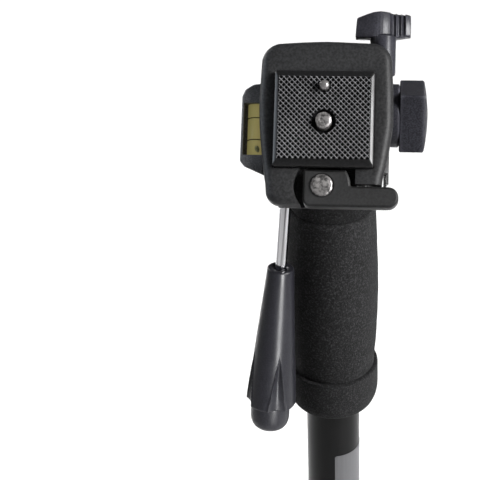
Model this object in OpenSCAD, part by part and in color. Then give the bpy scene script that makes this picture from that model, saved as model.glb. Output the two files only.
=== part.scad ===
// Four section camera monopod with a three way pan head, quick release plate,
// wire foot step and wrist strap. Millimetres, +Z up the column, +Y the way the
// lens looks, origin under the rubber foot on the column axis. Modelled closed,
// with the head tilted back and the pan handle hanging down.

/* [Leg tubes] */
// Outer radius of the upper tube
tube1_r = 12.5; // [11:0.5:14]
// Step in outer radius from one tube to the next
tube_step = 1.5; // [1.5:0.1:2]
// Wall of each tube
tube_wall = 1; // [0.8:0.1:1]
// Lower end of the upper tube
tube1_z0 = 132; // [130:1:134]
// Upper end of the upper tube
tube1_z1 = 560; // [558:0.5:560]

/* [Leg locks] */
// Clearance of a collar on the tube that slides in it
slide_gap = 0.08; // [0.02:0.01:0.1]
// Radius of the lever pivot pins
lock_pin_r = 1.5; // [1:0.1:1.8]
// Half width of a flip lever
lever_hw = 6; // [4:0.5:6]

/* [Foot] */
// Largest radius of the rubber foot
foot_r = 13.25; // [12:0.25:15]
// Height of the rubber foot
foot_h = 24; // [23:0.5:25]
// Radius of the spike
spike_r = 2.5; // [2:0.1:2.5]

/* [Foot step] */
// Wire radius of the step
step_wire_r = 2; // [1.6:0.1:2]
// Height of the step's pivot
step_z = 43; // [42:0.5:44]

/* [Grip] */
// Lower edge of the grip's end ring
grip_z0 = 436.4; // [434:0.1:438]
// Lower edge of the foam
foam_z0 = 457.5; // [455:0.1:459]
// Upper edge of the foam
foam_z1 = 545.9; // [540:0.1:546]
// Radius of the foam at its middle
foam_r = 20.4; // [19.6:0.1:20.4]

/* [Head] */
// Height of the tilt axis
axis_z = 590; // [588:1:596]
// Tilt of the head back from level, in degrees
head_tilt = 45; // [0:1:45]
// Sideways offset of the quick release plate
plate_x = -0.5; // [-1:0.1:0]
// Centre of the plate along the lens direction
plate_v = -14.1; // [-14.6:0.1:-13.8]
// Camera screw radius (quarter inch thread)
screw_r = 3.175; // [3:0.005:3.2]
// Height of the camera screw above the pad
screw_up = 3; // [2:0.5:5]
// Side of the square tilt knob
knob_s = 24.8; // [20:0.1:25]

/* [Handle] */
// Radius of the handle rod
rod_r = 2.5; // [2:0.1:2.8]
// Largest radius of the handle grip
handle_r = 11; // [9:0.1:11.2]

/* [Strap] */
// Cord diameter of the wrist strap
cord_d = 3; // [2:0.5:3]

/* [Hidden] */
$fn = 64;

// tube radii, lower ends and upper ends
tr = [tube1_r, tube1_r - tube_step, tube1_r - 2 * tube_step, tube1_r - 3 * tube_step];
tz0 = [tube1_z0, 99, 70, 14];
tz1 = [tube1_z1, 520, 512, 504];
// locks: lower face, upper face, outer radius, pivot distance from the axis
lz0 = [117.4, 84.4, 56];
lz1 = [150, 117, 84];
lro = [14.9, 13.3, 11.9];
lxp = [18.6, 17, 15.4];

// head frame: x across, y along the lens, z along the plate normal, about the tilt axis
lever_p = [plate_x - 0.3, plate_v - 26.2];
cam_v = plate_v - 1.6;
pin_v = cam_v + 14;
pad_w = 54;
flip_x = 21.7;
flip_w = 38;
rod_o = [-16, -3.7, 7];
rod_a = [0, 125.4, -95.5];

function unit(v) = v / norm(v);
// smooth curve through hand set points
function cr(p, i, t) =
  let (n = len(p), a = p[max(i - 1, 0)], b = p[i], c = p[i + 1], d = p[min(i + 2, n - 1)])
  0.5 * (2 * b + (c - a) * t + (2 * a - 5 * b + 4 * c - d) * t * t + (3 * b - a - 3 * c + d) * t * t * t);
function smooth(p, k) = concat([for (i = [0 : len(p) - 2], j = [0 : k - 1]) cr(p, i, j / k)], [p[len(p) - 1]]);
function tangent(p, i) = unit(p[min(i + 1, len(p) - 1)] - p[max(i - 1, 0)]);

// round tube swept along a path, ref is never along the path
module sweep(p, r, n, ref) {
  m = len(p);
  pts = [for (i = [0 : m - 1])
    let (t = tangent(p, i), a = unit(cross(t, ref)), b = cross(t, a))
    for (k = [0 : n - 1]) p[i] + r * (cos(360 * k / n) * a + sin(360 * k / n) * b)];
  faces = concat(
    [[for (k = [0 : n - 1]) k]],
    [for (i = [0 : m - 2], k = [0 : n - 1]) [i * n + k, (i + 1) * n + k, (i + 1) * n + (k + 1) % n, i * n + (k + 1) % n]],
    [[for (k = [n - 1 : -1 : 0]) (m - 1) * n + k]]);
  polyhedron(pts, faces);
}

module cx(r, a, b) { translate([a, 0, 0]) rotate([0, 90, 0]) cylinder(r = r, h = b - a); }
module cy(r, a, b) { translate([0, a, 0]) rotate([-90, 0, 0]) cylinder(r = r, h = b - a); }
module cz(r, a, b) { translate([0, 0, a]) cylinder(r = r, h = b - a); }
module box(x0, x1, y0, y1, z0, z1) { translate([x0, y0, z0]) cube([x1 - x0, y1 - y0, z1 - z0]); }
module pipe(ro, ri, a, b) { difference() { cz(ro, a, b); cz(ri, a - 1, b + 1); } }
module tilted() { translate([0, 0, axis_z]) rotate([head_tilt, 0, 0]) children(); }
module on_rod() { tilted() translate(rod_o) rotate(rod_a) children(); }

// ---- leg tubes ----
module leg_tube(k) { pipe(tr[k], tr[k] - tube_wall, tz0[k], tz1[k]); }
module leg_tube_1() { color([0.06, 0.06, 0.065]) leg_tube(0); }
module leg_tube_2() { color([0.06, 0.06, 0.065]) leg_tube(1); }
module leg_tube_3() { color([0.06, 0.06, 0.065]) leg_tube(2); }
module leg_tube_4() {
  color([0.06, 0.06, 0.065]) difference() {
    leg_tube(3);
    translate([0, 0, step_z]) cy(2, -20, 20);
  }
}

// guide bush on the top end of a sliding tube
module bushing(k) {
  ro = tr[k - 1] - tube_wall - slide_gap;
  pipe(ro, tr[k], tz1[k] - 22, tz1[k]);
  pipe(ro, tr[k] - tube_wall, tz1[k], tz1[k] + 2);
}
module bushing_2() { color([0.8, 0.8, 0.78]) bushing(1); }
module bushing_3() { color([0.8, 0.8, 0.78]) bushing(2); }
module bushing_4() { color([0.8, 0.8, 0.78]) bushing(3); }

// ---- leg locks ----
module lock_collar(k) {
  zp = lz0[k] + 7;
  ri = tr[k + 1] + slide_gap;
  difference() {
    union() {
      cz(lro[k], lz0[k], lz1[k]);
      intersection() {
        box(0, lxp[k], -9.5, 9.5, lz0[k], lz0[k] + 14);
        cz(lxp[k] + 2, lz0[k], lz0[k] + 20);
      }
      translate([lxp[k], 0, zp]) cy(4.6, -9.5, 9.5);
    }
    cz(tr[k], tz0[k], lz1[k] + 1);
    cz(ri, lz0[k] - 1, tz0[k] + 0.01);
    box(lxp[k] - 4.4, lxp[k] + 10, -6.3, 6.3, lz0[k] - 1, lz0[k] + 20);
    box(tr[k + 1] - 3, lxp[k] - 4, -4.5, 4.5, lz0[k] + 2.5, lz0[k] + 12);
    translate([lxp[k], 0, zp]) cy(lock_pin_r, -12, 12);
  }
}
module lock_collar_1() { color([0.05, 0.05, 0.052]) lock_collar(0); }
module lock_collar_2() { color([0.05, 0.05, 0.052]) lock_collar(1); }
module lock_collar_3() { color([0.05, 0.05, 0.052]) lock_collar(2); }

module lock_lever(k) {
  zp = lz0[k] + 7;
  x = lxp[k];
  difference() {
    union() {
      translate([x, 0, zp]) cy(4, -lever_hw, lever_hw);
      box(x + 1.8, x + 4.4, -lever_hw, lever_hw, zp, lz1[k] - 0.2);
      translate([0, lever_hw, 0]) rotate([90, 0, 0]) linear_extrude(2 * lever_hw)
        polygon([[lro[k] + 0.6, lz1[k] - 6.5], [x + 3, lz1[k] - 6.5], [x + 4.4, lz1[k] - 8], [x + 5, lz1[k] - 0.2], [lro[k] + 0.6, lz1[k] - 0.2]]);
    }
    translate([x, 0, zp]) cy(lock_pin_r + 0.06, -12, 12);
  }
}
module lock_lever_1() { color([0.05, 0.05, 0.052]) lock_lever(0); }
module lock_lever_2() { color([0.05, 0.05, 0.052]) lock_lever(1); }
module lock_lever_3() { color([0.05, 0.05, 0.052]) lock_lever(2); }

module lock_pin(k) { translate([lxp[k], 0, lz0[k] + 7]) cy(lock_pin_r, -9.7, 9.7); }
module lock_pin_1() { color([0.75, 0.75, 0.77]) lock_pin(0); }
module lock_pin_2() { color([0.75, 0.75, 0.77]) lock_pin(1); }
module lock_pin_3() { color([0.75, 0.75, 0.77]) lock_pin(2); }

module brake_shoe(k) {
  difference() {
    box(tr[k + 1] - 1, lxp[k] - 4.6, -4.3, 4.3, lz0[k] + 2.8, lz0[k] + 11.7);
    cz(tr[k + 1] + 0.3, lz0[k], lz0[k] + 20);
  }
}
module brake_shoe_1() { color([0.3, 0.3, 0.32]) brake_shoe(0); }
module brake_shoe_2() { color([0.3, 0.3, 0.32]) brake_shoe(1); }
module brake_shoe_3() { color([0.3, 0.3, 0.32]) brake_shoe(2); }

// ---- foot ----
module foot_plug() {
  color([0.1, 0.1, 0.1]) difference() {
    cz(tr[3] - tube_wall, tz0[3], 36);
    cz(spike_r, 10, 34);
  }
}
module foot_spike() {
  color([0.7, 0.7, 0.72]) union() {
    cz(spike_r, 5, 34);
    cylinder(r1 = 0.4, r2 = spike_r, h = 5);
  }
}
module rubber_foot() {
  color([0.04, 0.04, 0.04]) difference() {
    union() {
      intersection() {
        translate([0, 0, 12.6]) sphere(foot_r);
        cz(20, 1.4, 21);
      }
      cz(9.4, 15, foot_h);
    }
    cz(tr[3] + 0.3, 9, 30);
    cz(spike_r + 0.3, -1, 9);
  }
}

// ---- foot step ----
step_route = [[-3.5, -11.5, 40.5], [-8, -11.5, 37.5], [-13, -11.5, 36.8], [-17, -11, 41], [-17.5, -10, 50],
  [-21, -8, 68], [-22.7, -7, 82], [-21.5, -5.5, 110], [-19.5, -3.5, 150], [-18.4, -1.5, 185], [-19, -0.5, 195],
  [-22.5, 0, 200], [-26.3, 0.5, 195], [-27.6, 1.5, 187], [-30.5, 3.5, 155], [-34, 5.5, 118], [-37, 7, 88],
  [-41, 8, 78], [-46, 9, 66], [-48, 9.5, 58], [-45, 10, 51], [-38, 10.5, 48.5], [-28, 11, 49.5], [-16, 11.5, 50],
  [-8, 11.5, 48.5], [-3.5, 11.5, 45.5]];
tie_a = [-37, 7, 88];
tie_b = [-22.7, -7, 82];
module stirrup() {
  color([0.03, 0.03, 0.03]) union() {
    sweep(smooth(step_route, 3), step_wire_r, 10, [0, 1, 0]);
    sweep([tie_a, tie_b], step_wire_r * 0.9, 10, [0, 0, 1]);
    difference() {
      union() {
        translate([0, 0, step_z]) cy(5.2, -13.5, -9.5);
        translate([0, 0, step_z]) cy(5.2, 9.5, 13.5);
      }
      translate([0, 0, step_z]) cy(2.06, -20, 20);
    }
  }
}
module stirrup_pin() {
  color([0.7, 0.7, 0.72]) translate([0, 0, step_z]) union() {
    cy(2, -15, 15);
    cy(3.6, -15.4, -14);
    cy(3.6, 14, 15.4);
  }
}

// ---- grip ----
module grip_foam() {
  color([0.05, 0.05, 0.05]) rotate_extrude()
    polygon([[tube1_r, foam_z0], [foam_r - 1.6, foam_z0], [foam_r - 1.4, 463], [foam_r - 1, 468], [foam_r - 0.6, 476], [foam_r - 0.3, 485], [foam_r, 498], [foam_r - 0.1, 512], [foam_r - 0.6, 530], [19.3, foam_z1], [tube1_r, foam_z1]]);
}
module grip_end_ring() {
  color([0.07, 0.07, 0.07]) rotate_extrude()
    polygon([[tube1_r, grip_z0], [17.2, grip_z0], [18.6, grip_z0 + 1.6], [19.8, grip_z0 + 4.6], [20.4, grip_z0 + 8.5], [20.4, foam_z0], [tube1_r, foam_z0]]);
}
module column_plug() {
  color([0.2, 0.2, 0.2]) difference() {
    union() {
      cz(tube1_r - tube_wall, 534, tube1_z1);
      cz(tube1_r, tube1_z1, tube1_z1 + 1.5);
    }
    cz(3.06, 500, 600);
  }
}
module pan_bolt() {
  color([0.7, 0.7, 0.72]) union() {
    cz(3, 529, 570);
    translate([0, 0, 529]) cylinder(r = 5.5, h = 4.6, $fn = 6);
  }
}

// ---- head base ----
module head_base() {
  color([0.08, 0.08, 0.08]) difference() {
    union() {
      rotate_extrude() polygon([[0, 562], [12.85, 562], [12.85, 546.3], [18.6, 546.3], [18.9, 548], [18.9, 563], [18.2, 568], [16.5, 571.5], [14, 573], [0, 573]]);
      box(-9.6, 9.6, -12, 12, 571, axis_z);
      translate([0, 0, axis_z]) cx(13.5, -9.6, 9.6);
      box(-1.5, 1.5, 14, 23.2, 565.6, 571);
    }
    translate([0, 0, axis_z]) cx(3.06, -20, 20);
    cz(3, 550, 570.5);
    rotate([0, 0, 60]) translate([0, 0, 555]) cx(2, 10, 25);
    translate([0, 21, 568.2]) cx(1.4, -5, 5);
  }
}
module pan_lock_screw() {
  color([0.08, 0.08, 0.08]) rotate([0, 0, 60]) translate([0, 0, 555]) difference() {
    union() {
      cx(1.94, 13, 20.5);
      cx(6.5, 19.6, 22);
      cx(6, 21, 29);
    }
    for (a = [0 : 45 : 315]) rotate([a, 0, 0]) translate([0, 0, 6.6]) cx(1.3, 22, 30);
  }
}

// ---- wrist strap ----
strap_route = [[-1.7, 22.2, 545.5], [-1.9, 22.2, 538], [-3.4, 22.2, 524], [-5, 22.3, 505], [-6.2, 22.4, 480], [-7, 22.4, 455],
  [-7.6, 22.3, 432], [-7.8, 22.2, 416], [-6.4, 22.1, 406.5], [-3.3, 22, 402.3], [0.4, 22, 401.2], [4.2, 22, 402.5], [7.2, 22.1, 407],
  [8.4, 22.2, 416], [8, 22.3, 432], [7.2, 22.4, 455], [6.2, 22.4, 480], [5, 22.3, 505], [3.4, 22.2, 524], [1.9, 22.2, 538], [1.7, 22.2, 545.5]];
module strap_ring() {
  color([0.8, 0.8, 0.82]) translate([0, 21, 564.2]) rotate([90, 0, 0]) rotate_extrude() translate([4, 0]) circle(0.8);
}
module strap_crimp() {
  color([0.8, 0.8, 0.82]) difference() {
    union() {
      box(-3.6, 3.6, 20.2, 24.2, 545.5, 557.5);
      box(-1.2, 1.2, 19.2, 23, 556, 562.4);
    }
    for (s = [-1, 1]) translate([s * 5.6, 0, 551.5]) cy(2.4, 15, 30);
    translate([0, 21, 560.2]) cx(1.4, -5, 5);
  }
}
module strap_cord() {
  color([0.04, 0.04, 0.04]) sweep(smooth(strap_route, 3), cord_d / 2, 8, [0, 1, 0]);
}

// ---- tilt ----
module tilt_body() {
  color([0.08, 0.08, 0.08]) difference() {
    tilted() difference() {
      union() {
        for (s = [-1, 1]) {
          scale_x = s > 0 ? 10 : -24.5;
          cx(15, scale_x, scale_x + 14.5);
          box(scale_x, scale_x + 14.5, -13, 13, 0, 22);
        }
        box(-24.5, 24.5, -34, 14, 18, 26);
        box(15.7, 25, -33.7, 1.7, 20, flip_w);
        translate([flip_x, 0, flip_w]) cy(6, -33.7, 1.7);
      }
      cx(3, -40, 40);
      translate([-30, 0, 0]) rotate([0, 90, 0]) cylinder(r = 5.6, h = 9.5, $fn = 6);
      translate([flip_x, 0, flip_w]) cy(2.56, -60, 40);
      box(25, 30, -40, 5, 20, 50);
    }
    on_rod() cz(rod_r, 9, 40);
  }
}
module tilt_bolt() {
  color([0.7, 0.7, 0.72]) tilted() union() {
    cx(3, -24, 37);
    translate([-24.3, 0, 0]) rotate([0, 90, 0]) cylinder(r = 5.4, h = 3.8, $fn = 6);
  }
}
module tilt_washer() { color([0.7, 0.7, 0.72]) tilted() difference() { cx(9, 24.5, 26.2); cx(3, 20, 30); } }

// square with round corners and sides that curve in a little
function knob_outline(s, r, dip) = [for (q = [0 : 3], k = [0 : 11])
  let (c = s / 2 - r, a = q * 90, t = (k - 5.5) / 5.5 * 45,
    p = k < 8 ? [c + r * cos((k - 3.5) / 3.5 * 45 + 45), c + r * sin((k - 3.5) / 3.5 * 45 + 45)]
              : [c * (1 - (k - 7) / 2.5), s / 2 - dip * (1 - pow(1 - (k - 7) / 2.5, 2))])
  [p[0] * cos(a) - p[1] * sin(a), p[0] * sin(a) + p[1] * cos(a)]];
module tilt_knob() {
  color([0.09, 0.09, 0.09]) translate([0, 0, axis_z]) rotate([-17, 0, 0]) difference() {
    union() {
      cx(13, 26.5, 28.9);
      translate([28.8, 0, 0]) rotate([90, 0, 90]) linear_extrude(11.8) polygon(knob_outline(knob_s, 2, 0.5));
    }
    cx(3.06, 20, 37.5);
  }
}

// ---- pan handle ----
module handle_rod() { color([0.85, 0.85, 0.87]) on_rod() cz(rod_r, 9.2, 92); }
module handle_grip() {
  color([0.05, 0.05, 0.05]) on_rod() difference() {
    rotate_extrude() polygon([[0, 68.8], [4.8, 68.8], [5.85, 70], [handle_r - 3.4, 92], [handle_r - 1.7, 114], [handle_r - 0.2, 134], [handle_r, 138], [0, 138]]);
    cz(rod_r, 60, 92);
  }
}
module handle_cap() {
  color([0.05, 0.05, 0.05]) on_rod() rotate_extrude() polygon([[0, 138], [8.7, 138], [8.7, 144], [8.1, 147.6], [6.4, 150.8], [4.4, 152.4], [0, 152.4]]);
}

// ---- flip platform ----
// plan of the platform about the plate centre: slightly barrel sided, rounded corners
function arc(c, r, a0, a1, n) = [for (k = [0 : n]) c + r * [cos(a0 + (a1 - a0) * k / n), sin(a0 + (a1 - a0) * k / n)]];
platform_plan = concat(
  arc([17.6, 23.6], 8.6, 8, 76, 7), [[10, 32.3], [0, 32.6], [-10, 32.2]],
  arc([-17.4, 23.2], 8.6, 104, 172, 7), [[-26.1, 14], [-26, 5.4], [-25.7, -1], [-25.2, -7], [-24.5, -13], [-23.7, -19.3], [-22.7, -25]],
  arc([-16.6, -27.6], 6, 200, 270, 6), arc([17.8, -27.6], 6, 270, 340, 6),
  [[24.3, -23], [25.1, -18.5], [25.8, -13], [26.4, -7], [26.9, -1], [26.9, 5], [26.7, 14]]);
module platform() {
  color([0.09, 0.09, 0.09]) tilted() difference() {
    translate([plate_x, plate_v, 27]) linear_extrude(22) polygon(platform_plan);
    box(plate_x - 19.9, plate_x + 19.9, plate_v - 19.5, plate_v + 19.5, 45, 60);
    translate([lever_p[0], lever_p[1], 0]) {
      cz(11.1, 40.5, 60);
      box(0, 13, -12, 7, 40.5, 60);
    }
    box(plate_x + 7, 60, -70, plate_v - 25.4, 42.6, 60);
    box(13, 60, -34, 2.1, 10, 44.5);
    box(13, 60, 7, 60, 10, 44.5);
    box(-60, -24, -36.3, 3, 10, 42.3);
    box(-60, 60, -60, -43.6, 10, 42.3);
    box(25, 60, -60, 60, 10, 31);
    box(-22, 12, -27, 12, 10, 41);
    translate([flip_x, 0, flip_w]) cy(2.5, -43, 40);
    translate([lever_p[0], lever_p[1], 0]) cz(2, 33.9, 60);
  }
}
module flip_pin() { color([0.7, 0.7, 0.72]) tilted() translate([flip_x, 0, flip_w]) cy(2.5, -42.5, 24); }
module t_knob() {
  color([0.07, 0.07, 0.07]) tilted() translate([flip_x, 0, flip_w]) difference() {
    union() {
      cy(5.2, 7.4, 22);
      box(-10.8, 11, 21.2, 32.2, -4, 4);
      cy(5.6, 20.5, 33);
    }
    cy(2.56, 0, 25);
  }
}

// ---- level ----
module bubble_housing() {
  color([0.06, 0.06, 0.06]) tilted() difference() {
    translate([0, 0, 27.2]) linear_extrude(15.1) polygon([[-24, 2.6], [-29.3, 1.9], [-32.6, -0.2], [-33.8, -3], [-33.9, -30], [-32.2, -32.3], [-24, -36]]);
    translate([-28.1, 0, 36.9]) cy(3.6, -28, -4);
    box(-33, -25.2, -27, -5.8, 36.9, 60);
  }
}
module bubble_vial() { color([0.75, 0.85, 0.2, 0.8]) tilted() translate([-28.1, 0, 36.9]) cy(3.5, -27.8, -4.2); }

// ---- quick release ----
module qr_lever() {
  color([0.09, 0.09, 0.09]) tilted() translate([lever_p[0], lever_p[1], 0]) difference() {
    union() {
      intersection() { box(-7.4, 1, -8.35, 6.2, 43, 49.3); cz(10.5, 40, 60); }
      intersection() { box(0, 12, -8.35, 6.2, 43, 49.3); cz(11.2, 40, 60); }
      box(4, 25.8, -8.35, -0.1, 43, 49.3);
      translate([25.8, -4.225, 0]) cz(4.125, 43, 49.3);
    }
    cz(2.06, 30, 60);
  }
}
module lever_screw() {
  color([0.75, 0.75, 0.77]) tilted() translate([lever_p[0], lever_p[1], 0]) union() {
    cz(2, 34, 49.5);
    cz(4.4, 49.5, 50.5);
  }
}
module lever_spring() {
  color([0.7, 0.7, 0.72]) tilted() translate([lever_p[0], lever_p[1], 0])
    sweep([for (k = [0 : 36]) [3.4 * cos(k * 20), 3.4 * sin(k * 20), 41.1 + 1.3 * k / 36]], 0.35, 6, [0, 0, 1]);
}
module qr_plate() {
  color([0.08, 0.08, 0.08]) tilted() translate([plate_x, 0, 0]) difference() {
    intersection() {
      translate([0, plate_v + 30, 0]) rotate([90, 0, 0]) linear_extrude(60)
        polygon([[-19.7, 45.05], [19.7, 45.05], [19.7, 50.6], [18.3, 53], [-18.3, 53], [-19.7, 50.6]]);
      translate([-30, 0, 0]) rotate([90, 0, 90]) linear_extrude(60)
        polygon([[plate_v - 19.25, 45.05], [plate_v + 19.25, 45.05], [plate_v + 19.25, 50.6], [plate_v + 16.8, 53], [plate_v - 16.8, 53], [plate_v - 19.25, 50.6]]);
    }
    translate([lever_p[0] - plate_x, lever_p[1], 0]) cz(10.1, 40, 49.6);
    translate([0, cam_v, 0]) { cz(7.6, 40, 48); cz(3.5, 40, 60); cz(4.8, 50, 60); }
    translate([0, pin_v, 0]) { cz(3.1, 40, 50); cz(2.2, 40, 60); }
  }
}
module plate_pad() {
  color([0.3, 0.3, 0.3]) tilted() translate([plate_x, 0, 0]) difference() {
    box(-17.95, 17.95, plate_v - 16.45, plate_v + 16.45, 53, pad_w);
    translate([0, cam_v, 0]) cz(4.8, 50, 60);
    translate([0, pin_v, 0]) cz(2.4, 50, 60);
  }
}
module camera_screw() {
  color([0.8, 0.8, 0.8]) tilted() translate([plate_x, cam_v, 0]) difference() {
    union() {
      cz(2.6, 47, pad_w);
      cz(screw_r, pad_w - 0.5, pad_w + screw_up);
      cz(7, 45.4, 47.7);
    }
    box(-10, 10, -0.8, 0.8, 40, 46.6);
  }
}
module video_pin() {
  color([0.8, 0.8, 0.8]) tilted() translate([plate_x, pin_v, 0]) union() {
    cz(1.7, 48.4, 55);
    cz(1.9, 54.2, 57.5);
    cz(2.75, 48.4, 49.7);
  }
}
module pin_spring() {
  color([0.7, 0.7, 0.72]) tilted() translate([plate_x, pin_v, 0])
    sweep([for (k = [0 : 48]) [2.2 * cos(k * 30), 2.2 * sin(k * 30), 45.6 + 2.3 * k / 48]], 0.25, 6, [0, 0, 1]);
}

leg_tube_1();
leg_tube_2();
leg_tube_3();
leg_tube_4();
bushing_2();
bushing_3();
bushing_4();
lock_collar_1();
lock_collar_2();
lock_collar_3();
lock_lever_1();
lock_lever_2();
lock_lever_3();
lock_pin_1();
lock_pin_2();
lock_pin_3();
brake_shoe_1();
brake_shoe_2();
brake_shoe_3();
foot_plug();
foot_spike();
rubber_foot();
stirrup();
stirrup_pin();
grip_foam();
grip_end_ring();
column_plug();
pan_bolt();
head_base();
pan_lock_screw();
strap_ring();
strap_crimp();
strap_cord();
tilt_body();
tilt_bolt();
tilt_washer();
tilt_knob();
handle_rod();
handle_grip();
handle_cap();
platform();
flip_pin();
t_knob();
bubble_housing();
bubble_vial();
qr_lever();
lever_screw();
lever_spring();
qr_plate();
plate_pad();
camera_screw();
video_pin();
pin_spring();
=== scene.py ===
import math
import bmesh
import bpy
from mathutils import Matrix, Vector


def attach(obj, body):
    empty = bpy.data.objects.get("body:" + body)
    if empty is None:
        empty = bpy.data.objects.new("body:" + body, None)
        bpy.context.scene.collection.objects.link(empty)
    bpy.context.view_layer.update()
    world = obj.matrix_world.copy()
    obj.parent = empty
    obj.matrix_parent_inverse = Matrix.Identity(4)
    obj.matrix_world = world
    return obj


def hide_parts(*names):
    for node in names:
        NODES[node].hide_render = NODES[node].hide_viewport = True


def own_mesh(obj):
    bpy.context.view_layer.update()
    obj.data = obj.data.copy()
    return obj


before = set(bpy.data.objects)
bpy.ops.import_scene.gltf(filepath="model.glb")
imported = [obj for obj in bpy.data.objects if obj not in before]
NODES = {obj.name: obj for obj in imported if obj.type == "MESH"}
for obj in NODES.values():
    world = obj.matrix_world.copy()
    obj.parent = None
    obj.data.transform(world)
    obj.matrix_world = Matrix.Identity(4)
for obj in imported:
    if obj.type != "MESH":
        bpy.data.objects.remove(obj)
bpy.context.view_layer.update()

SCENE = bpy.context.scene
MM = Matrix.Scale(0.001, 4)
# head frame: x across, y along the lens, z along the plate normal, about the tilt axis
HEAD = Matrix.Translation((0, 0, 0.590)) @ Matrix.Rotation(math.radians(45), 4, "X")
# pan handle: +z down the rod
ROD = HEAD @ Matrix.Translation((-0.016, -0.0037, 0.007)) @ Matrix.Rotation(math.radians(-95.5), 4, "Z") @ Matrix.Rotation(math.radians(125.4), 4, "Y")
AXIS = Matrix.Translation((0, 0, 0.590))
WORLD = Matrix.Identity(4)
PX, PV = -0.5, -14.1
LEVER = (PX - 0.3, PV - 26.2)
CAM_V = PV - 1.6
PIN_V = CAM_V + 14.0
FLIP_X, FLIP_W = 21.7, 38.0


# ---------------------------------------------------------------- camera
def set_camera():
    az, el, roll = (math.radians(a) for a in (6.56, 35.31, -2.64))
    fwd = Vector((-math.sin(az) * math.cos(el), math.cos(az) * math.cos(el), -math.sin(el)))
    right = Vector((math.cos(az), math.sin(az), 0))
    up = right.cross(fwd)
    r2 = right * math.cos(roll) + up * math.sin(roll)
    u2 = -right * math.sin(roll) + up * math.cos(roll)
    m = Matrix((r2, u2, -fwd)).transposed().to_4x4()
    m.translation = (0.02928, -0.61153, 0.96025)
    data = bpy.data.cameras.new("camera")
    data.sensor_width = 36
    data.sensor_fit = "HORIZONTAL"
    data.lens = 1687.16 / 480 * 36
    data.clip_start = 0.01
    o = bpy.data.objects.new("camera", data)
    SCENE.collection.objects.link(o)
    o.matrix_world = m
    SCENE.camera = o


set_camera()


# ---------------------------------------------------------------- mesh tools (millimetres until placed)
def make(name, verts, faces):
    me = bpy.data.meshes.new(name)
    me.from_pydata([tuple(v) for v in verts], [], faces)
    me.validate()
    me.update()
    o = bpy.data.objects.new(name, me)
    SCENE.collection.objects.link(o)
    return o


def bake(o):
    dg = bpy.context.evaluated_depsgraph_get()
    me = bpy.data.meshes.new_from_object(o.evaluated_get(dg), depsgraph=dg)
    old = o.data
    o.modifiers.clear()
    o.data = me
    bpy.data.meshes.remove(old)
    return o


def combine(o, others, op):
    for c in others:
        m = o.modifiers.new("bool", "BOOLEAN")
        m.object = c
        m.operation = op
        m.solver = "EXACT"
    bake(o)
    for c in others:
        me = c.data
        bpy.data.objects.remove(c)
        bpy.data.meshes.remove(me)
    return o


def cut(o, *others):
    return combine(o, others, "DIFFERENCE")


def join(o, *others):
    return combine(o, others, "UNION")


def bevel(o, width, seg=2, angle=32):
    m = o.modifiers.new("bevel", "BEVEL")
    m.width = width
    m.segments = seg
    m.limit_method = "ANGLE"
    m.angle_limit = math.radians(angle)
    m.use_clamp_overlap = True
    return bake(o)


def shade(o, angle=38):
    o.data.polygons.foreach_set("use_smooth", [True] * len(o.data.polygons))
    o.data.set_sharp_from_angle(angle=math.radians(angle))


def place(o, mat, body, node=None, M=WORLD, angle=38):
    o.data.transform(M @ MM)
    o.data.update()
    shade(o, angle)
    o.data.materials.clear()
    o.data.materials.append(mat)
    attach(o, body)
    if node:
        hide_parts(*([node] if isinstance(node, str) else node))
    return o


def box(x0, x1, y0, y1, z0, z1, name="b"):
    v = [(x, y, z) for z in (z0, z1) for y in (y0, y1) for x in (x0, x1)]
    f = [(0, 2, 3, 1), (4, 5, 7, 6), (0, 1, 5, 4), (2, 6, 7, 3), (0, 4, 6, 2), (1, 3, 7, 5)]
    return make(name, v, f)


def inset(pts, d):
    n = len(pts)
    out = []
    for i in range(n):
        a, b, c = Vector(pts[i - 1]), Vector(pts[i]), Vector(pts[(i + 1) % n])
        e1, e2 = (b - a).normalized(), (c - b).normalized()
        n1, n2 = Vector((-e1.y, e1.x)), Vector((-e2.y, e2.x))
        m = n1 + n2
        m = m / max(0.35, m.dot(n1)) if m.length > 1e-6 else n1
        out.append(tuple(b + m * d))
    return out


def loft(name, rings, cap=True):
    n = len(rings[0])
    verts = [p for r in rings for p in r]
    faces = []
    for i in range(len(rings) - 1):
        for k in range(n):
            faces.append((i * n + k, i * n + (k + 1) % n, (i + 1) * n + (k + 1) % n, (i + 1) * n + k))
    if cap:
        faces.append(tuple(range(n - 1, -1, -1)))
        faces.append(tuple((len(rings) - 1) * n + k for k in range(n)))
    return make(name, verts, faces)


def prism(name, outline, z0, z1, rt=0.0, rb=0.0, seg=5):
    """Upright prism of a counter-clockwise outline, its top edge rounded by rt and its bottom edge by rb."""
    rings = []
    if rb > 0:
        for k in range(seg + 1):
            a = math.radians(90 * k / seg)
            rings.append([(x, y, z0 + rb * (1 - math.cos(a))) for x, y in inset(outline, rb * (1 - math.sin(a)))])
    else:
        rings.append([(x, y, z0) for x, y in outline])
    if rt > 0:
        for k in range(seg + 1):
            a = math.radians(90 * k / seg)
            rings.append([(x, y, z1 - rt * (1 - math.sin(a))) for x, y in inset(outline, rt * (1 - math.cos(a)))])
    else:
        rings.append([(x, y, z1) for x, y in outline])
    return loft(name, rings)


def arc(cx, cy, r, a0, a1, n):
    return [(cx + r * math.cos(math.radians(a0 + (a1 - a0) * k / n)), cy + r * math.sin(math.radians(a0 + (a1 - a0) * k / n))) for k in range(n + 1)]


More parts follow.
